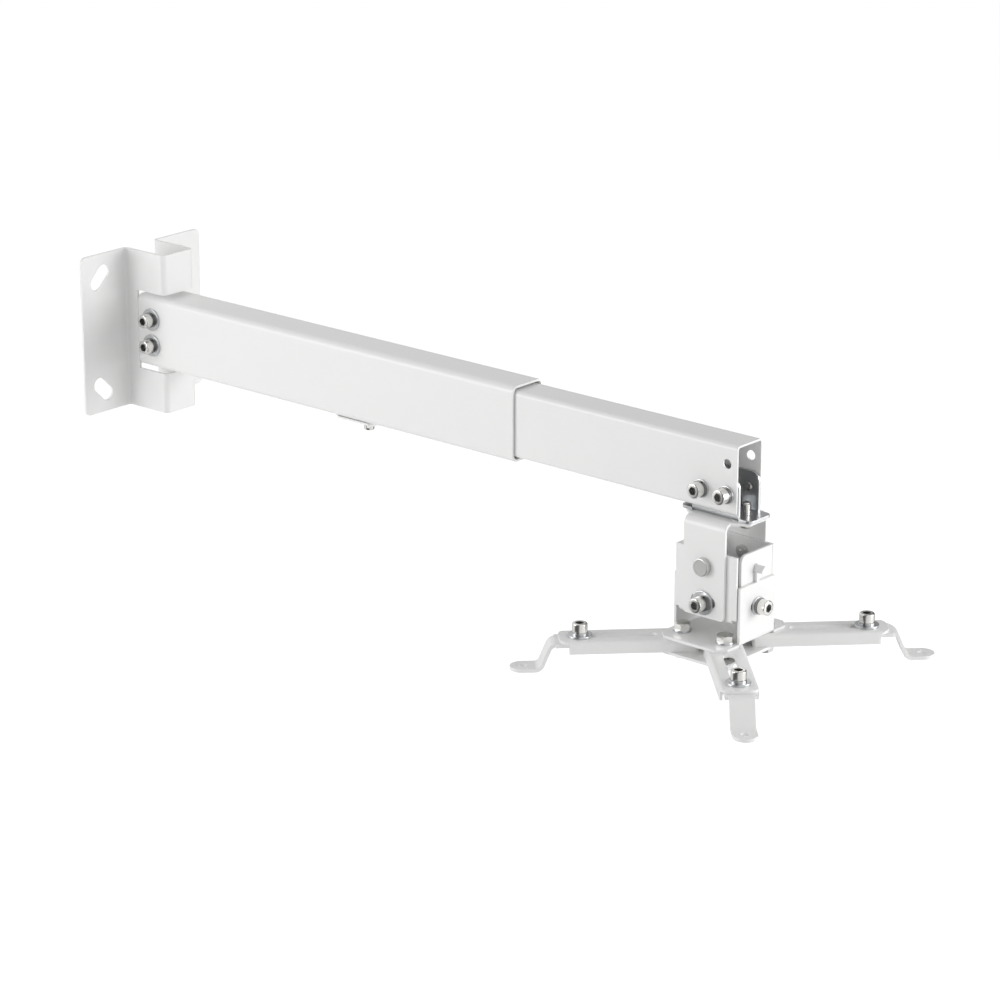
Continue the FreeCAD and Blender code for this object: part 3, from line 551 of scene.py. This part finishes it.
# Yoke: a folded U of zinc plated sheet inside the tube's end, held by four
# screws that bite in its own tapped ears: two socket screws on the near side and
# two low ones on the far side. Its floor carries the whole head.
HEAD_X = 530.0
YOKE_SCREW_X = (520.0, 540.0)
YOKE_SCREW_Z = -10.0
INNER_SIDE = 13.0
YOKE_GRIP = 3.7
YOKE_SCREW_TAIL = 7.5
BUTTON_RADIUS = 5.25
BUTTON_HEIGHT = 3.3
BUTTON_FLATS = 4.0
BUTTON_BARE = 2.5
sheet_piece("tube_yoke", "arm", THIN_ROUND, "plated_steel", zinc)


def button_screw(bm, place, reach):
    """Low screw with a domed head and a small hexagon socket."""
    hollow = hexagon(BUTTON_FLATS)
    rings = shank(THREAD_RADIUS, THREAD_ROOT, reach, BUTTON_BARE)
    rings += [(THREAD_RADIUS - 0.03, 0), (BUTTON_RADIUS - 0.2, 0), (BUTTON_RADIUS, 0.2)]
    rings += [(BUTTON_RADIUS, 1.0), (4.95, 1.8), (4.4, 2.5), (3.6, 3.0), (2.6, BUTTON_HEIGHT)]
    rings += [(hollow, BUTTON_HEIGHT - 0.15), (hollow, 1.5), (0, 1.2)]
    turned(bm, place, rings, socket=(2.25, 1.1))
    thread(bm, place, THREAD_RADIUS, THREAD_ROOT, THREAD_PITCH, -reach + 0.2, -BUTTON_BARE)


def yoke_screw(bm, place, number):
    """A socket screw over two washers in front, a low screw over one behind."""
    if number < len(yoke_near):
        socket_screw(bm, place, 2 * WASHER + YOKE_GRIP + YOKE_SCREW_TAIL, LONG_THREAD)
    else:
        button_screw(bm, place, WASHER + YOKE_GRIP)


yoke_near, yoke_far = ([seat((x, side * INNER_SIDE, YOKE_SCREW_Z), (0, side, 0)) for x in YOKE_SCREW_X]
                       for side in (-1, 1))
fasteners("yoke_flat_washers", "arm", zinc, small_washer, yoke_near + yoke_far, "yoke_washers")
fasteners("yoke_split_washers", "arm", spring_steel_and_crevice_shade, split_washer, moved(yoke_near, WASHER),
          "yoke_spring_washers")
fasteners("yoke_ear_screws", "arm", nickel, yoke_screw,
          moved(yoke_near, 2 * WASHER) + moved(yoke_far, WASHER), "yoke_screws")

# Swivel: an M8 screw with its head under the pan bracket and its nut on the
# yoke, and an M6 lock screw that runs in a curved slot and bites in the yoke.
YOKE_FLOOR = -24.9
PAN_TOP = -26.9
SHEET = 2.0
SWIVEL_LOCK_OUT = 16.0
SWIVEL_LOCK_TAIL = 12.0
UP = (0, 0, 1)
LARGE_SCREW = {"head": 6.5, "height": 5.0, "flats": 6.0, "radius": 4.0, "root": 3.35, "pitch": 1.25}
fasteners("swivel_socket_bolt", "arm", nickel,
          lambda bm, p, n: socket_screw(bm, p, reach=11.3, thread_length=THREAD_LENGTH, **LARGE_SCREW),
          [seat((HEAD_X, 0, PAN_TOP - SHEET), DOWN)], "swivel_bolt")
fasteners("swivel_hex_nut", "arm", zinc, lambda bm, p, n: hex_nut(bm, p, flats=13.0, height=6.3, bore=3.5),
          [seat((HEAD_X, 0, YOKE_FLOOR), UP)], "swivel_nut")
lock_place = [seat((HEAD_X + SWIVEL_LOCK_OUT, 0, PAN_TOP - SHEET), DOWN)]
fasteners("swivel_lock_flat_washer", "arm", zinc, small_washer, lock_place, "swivel_lock_washer")
fasteners("swivel_lock_button_screw", "arm", nickel,
          lambda bm, p, n: button_screw(bm, p, WASHER + SWIVEL_LOCK_TAIL),
          moved(lock_place, WASHER), "swivel_lock_screw")

# Pan bracket: an upside-down U of 2 mm sheet that turns under the yoke and
# carries the tilt box between its two sides.
sheet_piece("pan_bracket", "pan")

# Pitch joint: a shouldered rivet each side carries the tilt box, and a screw
# below it runs in a curved slot and clamps it.
PITCH_Z = -57.5
PAN_SIDE = 22.0
PITCH_LOCK_Z = PITCH_Z - 24.3
PITCH_GRIP = 4.3
PIVOT_TAIL = [(0, -6.3), (0.9, -6.25), (1.3, -6.0), (2.2, -6.1), (3.9, -5.9), (4.5, -5.3), (4.45, -4.5),
              (4.3, -4.3), (3.97, -4.3), (3.97, 0)]
PIVOT_HEAD = [(5.5, 0), (5.9, 0.35), (5.9, 3.5), (5.75, 3.85), (5.4, 4.0), (4.6, 3.95), (4.5, 3.85),
              (0.6, 3.85), (0, 3.7)]
steel = finish_material("plain_plate", ((0.70, 0.70, 0.68, 1), (0.58, 0.58, 0.57, 1)), roughness=(0.32, 0.46),
                        metallic=1.0, grain=1300, depth=0.00004)


def pivot_rivet(bm, place, number):
    """Flat round head with a turned rim outside, peened tail inside."""
    turned(bm, place, PIVOT_TAIL + PIVOT_HEAD)


def each_side(distance, height, way):
    """A seat on each side of the head, at a distance from its middle; way 1 looks out, -1 looks in."""
    return [seat((HEAD_X, side * distance, height), (0, way * side, 0)) for side in (-1, 1)]


fasteners("pitch_pivot_rivets", "tilt", steel, pivot_rivet, each_side(PAN_SIDE, PITCH_Z, 1), "pitch_pivots")
screw_stack("pitch_lock", "tilt", each_side(PAN_SIDE, PITCH_LOCK_Z, 1), WIDE_WASHER, PITCH_GRIP)
fasteners("pitch_lock_hex_nuts", "tilt", zinc, plain_nut,
          each_side(PAN_SIDE - PITCH_GRIP, PITCH_LOCK_Z, -1), "pitch_lock_nuts")

# Tilt box: four walls folded up from one floor of 2 mm sheet, open at the
# corners; each end wall has a tab that reaches round one of them.
sheet_piece("tilt_box", "tilt")

# Roll joint: the base bracket's twisted hooks hang in the tilt box's slots, and
# a screw at each end runs in a curved slot below.
BASE_END = 26.5
ROLL_LOCK_Z = -83.4
ROLL_GRIP = 4.3


def each_end(distance, way):
    """A seat at each end of the head, at a distance from its middle; way 1 looks out, -1 looks in."""
    return [seat((HEAD_X + side * distance, 0, ROLL_LOCK_Z), (way * side, 0, 0)) for side in (-1, 1)]


screw_stack("roll_lock", "tilt", each_end(BASE_END, 1), SMALL_WASHER, ROLL_GRIP)
fasteners("roll_lock_hex_nuts", "tilt", zinc, plain_nut, each_end(BASE_END - ROLL_GRIP, -1), "roll_lock_nuts")

# Base bracket and clamp plate: the legs' inner ends lie between them, held by
# four hexagon screws that are also the legs' pivots.
sheet_piece("base_bracket", "base")
sheet_piece("clamp_plate", "base")
BASE_FLOOR = -105.0
CLAMP_UNDER = -117.2
PIVOTS = ((-17.2, -21.0), (17.2, -21.0), (17.2, 21.0), (-17.2, 21.0))
HEX_HEIGHT = 4.2
LEG_BOLT_REACH = 19.7


def hex_screw(bm, place, number):
    """Hexagon head with its corners turned off, the shank down through the legs."""
    side = hexagon(NUT_FLATS)
    land = NUT_FLATS / 2 - 0.15
    bare = LEG_BOLT_REACH - LONG_THREAD

    def fall(angle):
        return HEX_HEIGHT - (side(angle) - land) * CORNER_SLOPE

    rings = shank(THREAD_RADIUS, THREAD_ROOT, LEG_BOLT_REACH, bare)
    rings += [(THREAD_RADIUS - 0.03, 0), (land, 0), (side, 0), (side, fall)]
    rings += [(land, HEX_HEIGHT), (0, HEX_HEIGHT)]
    turned(bm, place, rings)
    thread(bm, place, THREAD_RADIUS, THREAD_ROOT, THREAD_PITCH, -LEG_BOLT_REACH + 0.2, -bare)


bolt_places = [seat((HEAD_X + x, y, BASE_FLOOR), UP) for x, y in PIVOTS]
under_places = [seat((HEAD_X + x, y, CLAMP_UNDER), DOWN) for x, y in PIVOTS]
fasteners("leg_bolt_flat_washers", "base", zinc, small_washer, bolt_places, "leg_bolt_washers")
fasteners("leg_hex_bolts", "base", nickel, hex_screw, moved(bolt_places, WASHER), "leg_bolts")
fasteners("leg_hex_nuts", "base", zinc, plain_nut, under_places, "leg_bolt_nuts")

# Legs and feet: four folded channels with a long slot, and in each a foot that
# slides, clamped by a screw through the slot with its nut below.
LEG_ANGLES = (225, 315, 45, 135)
LEG_TOP = -107.0
FOOT_SCREW_OUT = 65.5
FOOT_GRIP = 4.5
FOOT_SCREW_REACH = 2 * WASHER + FOOT_GRIP + NUT_HEIGHT + PAST_NUT
FOOT_SPLIT_ANGLE = 60
FOOT_SPLIT_STEP = 77


def washer_pair(bm, place, start):
    """Flat washer with a spring washer on it."""
    flat_washer(bm, place, WIDE_WASHER)
    spring_washer(bm, place @ Matrix.Translation((0, 0, WASHER)), start)


for number, ((x, y), angle) in enumerate(zip(PIVOTS, LEG_ANGLES), start=1):
    sheet_piece("leg_%d" % number, "leg_%d" % number)
    sheet_piece("foot_%d" % number, "foot_%d" % number)
    way = Vector((math.cos(math.radians(angle)), math.sin(math.radians(angle)), 0))
    hold = Vector((HEAD_X + x, y, LEG_TOP)) + way * FOOT_SCREW_OUT
    body = "foot_%d" % number
    over = [seat(hold, UP)]
    under = [seat(hold - Vector((0, 0, FOOT_GRIP)), DOWN)]
    fasteners("foot_washer_pair_%d" % number, body, zinc,
              lambda bm, p, n: washer_pair(bm, p, FOOT_SPLIT_ANGLE + FOOT_SPLIT_STEP * number), over,
              "foot_washers_%d" % number)
    fasteners("foot_socket_screw_%d" % number, body, nickel,
              lambda bm, p, n: socket_screw(bm, p, FOOT_SCREW_REACH, LONG_THREAD), moved(over, 2 * WASHER),
              "foot_screw_%d" % number)
    fasteners("foot_hex_nut_%d" % number, body, zinc, plain_nut, under, "foot_nut_%d" % number)
